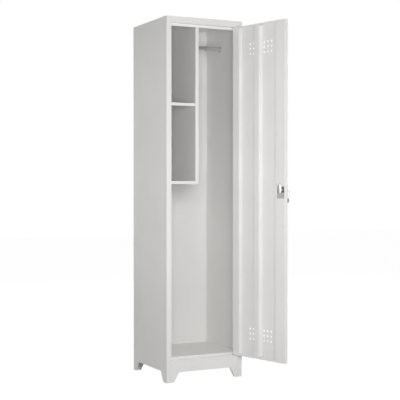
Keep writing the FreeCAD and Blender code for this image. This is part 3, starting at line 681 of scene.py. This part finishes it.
def key_head(node, place):
    """Moulded grip: soft edges, a sunk panel on each side and the hole for the ring."""
    low, high = local_box(node, place)
    blade_low, blade_high = local_box(node.replace("_head", ""), place)
    half, beyond = high.x, MM
    outline = rounded_rectangle(low.y, high.y, low.z, high.z, 6 * MM, 10)
    head = turned_flat(prism(node + "_moulding", outline, -half, half))
    round_off(head, 0.9 * MM, segments=4)
    inset, sunk = 3.2 * MM, 0.45 * MM
    panel_from, panel_to = low.y + 2 * KEY_INSET + MM, high.y - inset
    for side in (-1, 1):
        panel = rounded_rectangle(panel_from, panel_to, low.z + inset, high.z - inset, 3 * MM)
        outside = sorted((side * (half - sunk), side * (half + beyond)))
        carve(head, turned_flat(prism("panel", panel, *outside)))
    hole = arc((0, 0), KEY_HOLE, 0, 350, 35)
    carve(head, turned_flat(prism("hole", hole, -half - beyond, half + beyond)))
    slit_from, slit_to = blade_low.y - BLADE_PLAY, high.y + beyond
    slit_low, slit_high = blade_low.z - BLADE_PLAY, blade_high.z + BLADE_PLAY
    slit = [
        (slit_from, slit_low), (slit_to, slit_low),
        (slit_to, slit_high), (slit_from, slit_high),
    ]
    slit = prism("slit", slit, blade_low.x - BLADE_PLAY, blade_high.x + BLADE_PLAY)
    carve(head, turned_flat(slit))
    round_off(head, 0.2 * MM, segments=2)
    place_piece(head, place, node)


for key, hanging in (("door_key", False), ("spare_key", True)):
    key_place = key_frame(key, hanging)
    key_blade(key, key_place)
    key_head(key + "_head", key_place)


def key_ring():
    """Split ring: two turns of flattened wire side by side, each end stepping across."""
    low, high = local_box("key_ring", LOCK)
    wire = (high.y - low.y) / 2
    radius = (high.z - low.z) / 2 - wire
    turns, steps, step_over = 2, 200, math.radians(22)
    opening = math.radians(215)                # where the two ends lie
    half_wide, half_high, count = 0.46 * wire, 0.76 * wire, 14
    round_wire = [math.tau * i / count for i in range(count)]
    section = [(half_wide * math.cos(a), half_high * math.sin(a)) for a in round_wire]
    vertices, faces = [], []
    for i in range(steps + 1):
        angle = math.tau * turns * i / steps
        across = min(1, max(0, (angle - math.tau + step_over / 2) / step_over))
        out = Vector((math.cos(angle + opening), 0, math.sin(angle + opening)))
        centre = out * radius + Vector((0, (across - 0.5) * wire, 0))
        vertices += [centre + Vector((0, y, 0)) + out * r for y, r in section]
    for i in range(steps):
        for j in range(count):
            k = (j + 1) % count
            faces.append((i * count + j, i * count + k, (i + 1) * count + k, (i + 1) * count + j))
    faces.append(tuple(range(count)))
    faces.append(tuple(range(len(vertices) - 1, len(vertices) - count - 1, -1)))
    ring = new_object("key_ring_split", vertices, faces)
    place_piece(ring, LOCK @ Matrix.Translation((low + high) / 2), "key_ring")


key_ring()


# ---------------------------------------------------------------- studio

WHITE = (1, 1, 1, 1)
WORLD_LIGHT = 0.15               # strength of the world where it lights the object
FLOOR_REACH = 14                 # metres from the middle to the floor's edge
FLOOR_BOUNCE = 0.62              # grey of the floor where it lights the object
FLOOR_GLOW = 0.97                # white of the floor where it is seen
SHADOW_SHARE = 0.16              # share of the lit grey, with its shadow, that is seen too
EYE = (-2.2347, -4.6422, 0.9566)
EYE_DOWN, EYE_TURN = 0.680, 26.469    # degrees below level, and to the right of +Y
LENS = 89.68                     # mm, on a sensor 36 mm wide
MIDDLE = (0, 0, 0.9)             # where the lamps point
LAMPS = {
    # name: degrees from the front, right positive; height, distance and side in m; watts
    "key": (-20, 1.25, 2.5, 0.9, 36),
    "left": (-80, 1.0, 2.2, 1.0, 4.2),
    "right": (80, 1.4, 5.0, 2.5, 85),
    "rear": (180, 1.4, 5.0, 2.5, 120),
}
OVERHEAD = (6.0, 2.5, 60)        # height, side, watts


def softbox(name, place, side, watts):
    """Square lamp that points at the middle of the object."""
    data = bpy.data.lights.new(name, "AREA")
    data.shape = "SQUARE"
    data.size = side
    data.energy = watts
    lamp = bpy.data.objects.new(name, data)
    lamp.location = place
    aim = Vector(MIDDLE) - Vector(place)
    lamp.rotation_euler = aim.to_track_quat("-Z", "Y").to_euler()
    scene.collection.objects.link(lamp)


def seen_directly(tree):
    """1 for rays from the camera, and those that metal and glass send on."""
    path = tree.nodes.new("ShaderNodeLightPath")
    total = path.outputs["Is Camera Ray"]
    for ray in ("Is Glossy Ray", "Is Transmission Ray"):
        either = tree.nodes.new("ShaderNodeMath")
        either.operation = "MAXIMUM"
        tree.links.new(total, either.inputs[0])
        tree.links.new(path.outputs[ray], either.inputs[1])
        total = either.outputs[0]
    return total


def scaled(tree, source, factor):
    """A socket's value times a number."""
    node = tree.nodes.new("ShaderNodeMath")
    node.operation = "MULTIPLY"
    node.inputs[1].default_value = factor
    tree.links.new(source, node.inputs[0])
    return node.outputs[0]


def studio_world():
    """White where it is seen, and a weaker even light on the object."""
    world = bpy.data.worlds.new("studio")
    scene.world = world
    world.use_nodes = True
    tree = world.node_tree
    tree.nodes.clear()
    output = tree.nodes.new("ShaderNodeOutputWorld")
    background = tree.nodes.new("ShaderNodeBackground")
    background.inputs["Color"].default_value = WHITE
    strength = tree.nodes.new("ShaderNodeMapRange")
    strength.inputs["To Min"].default_value = WORLD_LIGHT
    strength.inputs["To Max"].default_value = 1.0
    tree.links.new(seen_directly(tree), strength.inputs["Value"])
    tree.links.new(strength.outputs[0], background.inputs["Strength"])
    tree.links.new(background.outputs[0], output.inputs[0])


def studio_floor():
    """Pale floor that shows nearly white, with a faint shadow, and lights the object as plain grey."""
    near, far = -FLOOR_REACH, FLOOR_REACH
    corners = [(near, near, 0), (far, near, 0), (far, far, 0), (near, far, 0)]
    mesh = bpy.data.meshes.new("studio_floor")
    mesh.from_pydata(corners, [], [(0, 1, 2, 3)])
    floor = bpy.data.objects.new("studio_floor", mesh)
    scene.collection.objects.link(floor)
    material = bpy.data.materials.new("studio_floor")
    material.use_nodes = True
    tree = material.node_tree
    tree.nodes.clear()
    output = tree.nodes.new("ShaderNodeOutputMaterial")
    grey = tree.nodes.new("ShaderNodeBsdfDiffuse")
    grey.inputs["Color"].default_value = (FLOOR_BOUNCE, FLOOR_BOUNCE, FLOOR_BOUNCE, 1)
    seen = seen_directly(tree)
    faint = tree.nodes.new("ShaderNodeMixShader")
    tree.links.new(scaled(tree, seen, 1 - SHADOW_SHARE), faint.inputs[0])
    tree.links.new(grey.outputs[0], faint.inputs[1])
    glow = tree.nodes.new("ShaderNodeEmission")
    glow.inputs["Color"].default_value = WHITE
    tree.links.new(scaled(tree, seen, FLOOR_GLOW), glow.inputs["Strength"])
    both = tree.nodes.new("ShaderNodeAddShader")
    tree.links.new(faint.outputs[0], both.inputs[0])
    tree.links.new(glow.outputs[0], both.inputs[1])
    tree.links.new(both.outputs[0], output.inputs[0])
    mesh.materials.append(material)


def camera():
    """Camera at the place that the photograph was taken from."""
    data = bpy.data.cameras.new("camera")
    data.sensor_width = 36
    data.lens = LENS
    data.clip_end = 60
    eye = bpy.data.objects.new("camera", data)
    eye.location = EYE
    eye.rotation_euler = (math.radians(90 - EYE_DOWN), 0, -math.radians(EYE_TURN))
    scene.collection.objects.link(eye)
    scene.camera = eye


scene.view_settings.view_transform = "Standard"
camera()
studio_world()
studio_floor()
for name, (compass, height, distance, side, watts) in LAMPS.items():
    turn = math.radians(compass)
    spot = (distance * math.sin(turn), -distance * math.cos(turn), height)
    softbox(name, spot, side, watts)
height, side, watts = OVERHEAD
softbox("overhead", (0, 0, height), side, watts)
